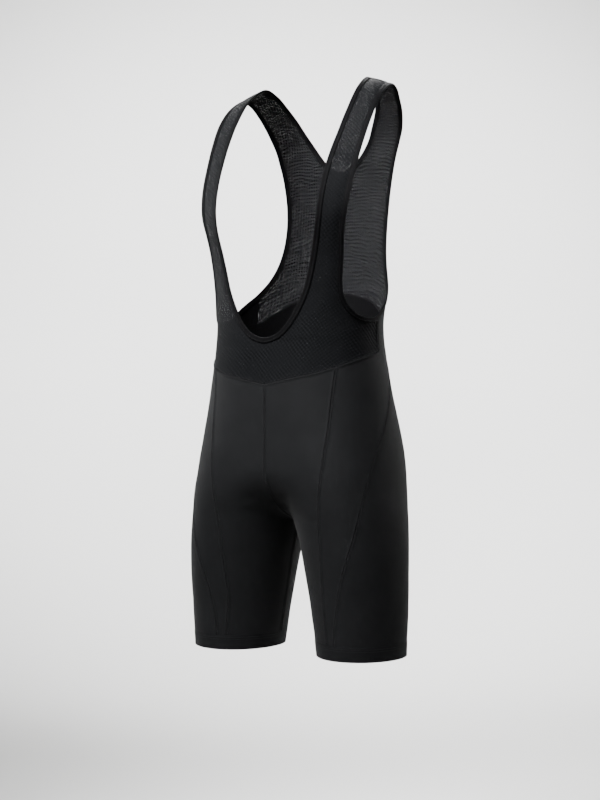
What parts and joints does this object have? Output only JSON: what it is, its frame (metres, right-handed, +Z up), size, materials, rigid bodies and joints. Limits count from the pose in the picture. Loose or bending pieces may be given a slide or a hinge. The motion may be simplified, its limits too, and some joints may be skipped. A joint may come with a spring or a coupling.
{
  "type": "cycling bib shorts",
  "caption": "close-fitting black cycling shorts with a sheer mesh bib: scooped front, straps over the shoulders, panelled legs with turned hem bands",
  "frame": {"origin": "on the centre plane between the undersides of the two straps, where they lie on the shoulders", "axes": "+Z up, -Y the way the front faces, +X the wearer's left"},
  "size_m": [0.3642, 0.2484, 0.901],
  "materials": {
    "lycra": "matt knitted stretch fabric",
    "mesh": "fine open mesh, a little see-through",
    "binding": "folded elastic binding",
    "band": "matt knitted stretch fabric, double"
  },
  "bodies": {
    "root": {"leg_front_left": "lycra", "leg_front_right": "lycra", "leg_side_left": "lycra", "leg_side_right": "lycra", "leg_back_left": "lycra", "leg_back_right": "lycra", "hem_band_left": "band", "hem_band_right": "band", "armhole_binding_left": "binding", "armhole_binding_right": "binding", "bib_front": "mesh", "bib_back": "mesh", "neck_binding": "binding"}
  },
  "joints": []
}
